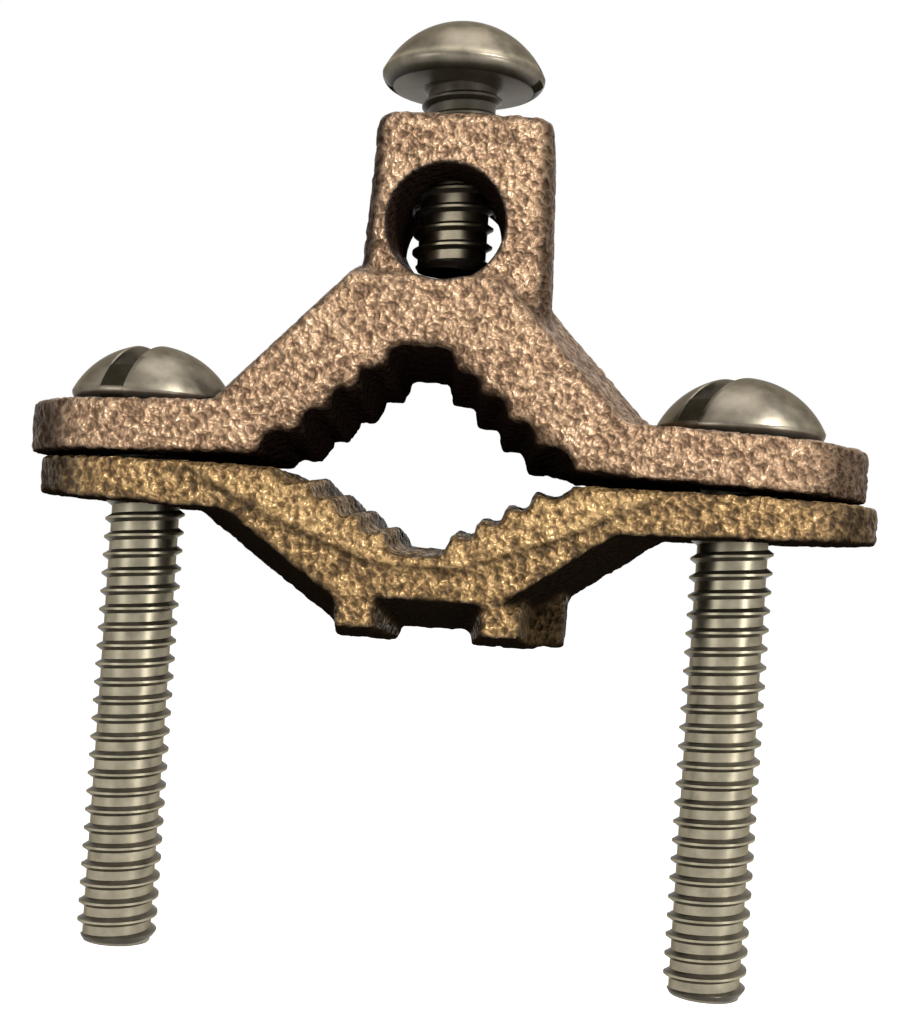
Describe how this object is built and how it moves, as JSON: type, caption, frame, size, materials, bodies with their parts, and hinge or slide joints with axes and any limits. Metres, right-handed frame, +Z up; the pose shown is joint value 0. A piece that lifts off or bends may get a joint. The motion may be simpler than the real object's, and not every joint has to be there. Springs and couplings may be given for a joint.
{
  "type": "ground clamp",
  "caption": "Cast bronze water-pipe ground clamp: two toothed vee jaws drawn together by slotted round-head screws, with a wire post and screw on top.",
  "frame": {"origin": "on the axis of the clamped pipe, in the plane where the two jaws meet, midway between the clamp screws and midway through the jaws' depth", "axes": "+X to the right-hand clamp screw, +Y along the pipe to the back, +Z up to the wire terminal"},
  "size_m": [0.058, 0.0176, 0.0648],
  "materials": {
    "bronze_upper": "sand-cast, rough, tan bronze",
    "bronze_lower": "sand-cast, rough, golden bronze",
    "steel": "satin, nickel-plated"
  },
  "bodies": {
    "upper_jaw": {"upper_jaw": "bronze_upper"},
    "lower_jaw": {"lower_jaw": "bronze_lower"},
    "clamp_screw_left": {"clamp_screw_left": "steel"},
    "clamp_screw_right": {"clamp_screw_right": "steel"},
    "terminal_screw": {"terminal_screw": "steel"}
  },
  "joints": [
    {"name": "lower_jaw_slide", "type": "slide", "parent": "upper_jaw", "child": "lower_jaw", "axis": [0, 0, -1], "range_m": [0, 0.025]},
    {"name": "clamp_screw_left_turn", "type": "hinge", "parent": "upper_jaw", "child": "clamp_screw_left", "pos_m": [-0.0203, 0, 0.00382], "axis": [0, 0, 1], "range_deg": [0, 7100]},
    {"name": "clamp_screw_right_turn", "type": "hinge", "parent": "upper_jaw", "child": "clamp_screw_right", "pos_m": [0.0203, 0, 0.00382], "axis": [0, 0, 1], "range_deg": [0, 7100]},
    {"name": "terminal_screw_rise", "type": "slide", "parent": "upper_jaw", "child": "terminal_screw", "axis": [0, 0, 1], "range_m": [0, 0.0063]}
  ],
  "couplings": [
    {"joint": "clamp_screw_left_turn", "follows": "lower_jaw_slide", "rad_per_m": 4947.4},
    {"joint": "clamp_screw_right_turn", "follows": "lower_jaw_slide", "rad_per_m": 4947.4}
  ]
}
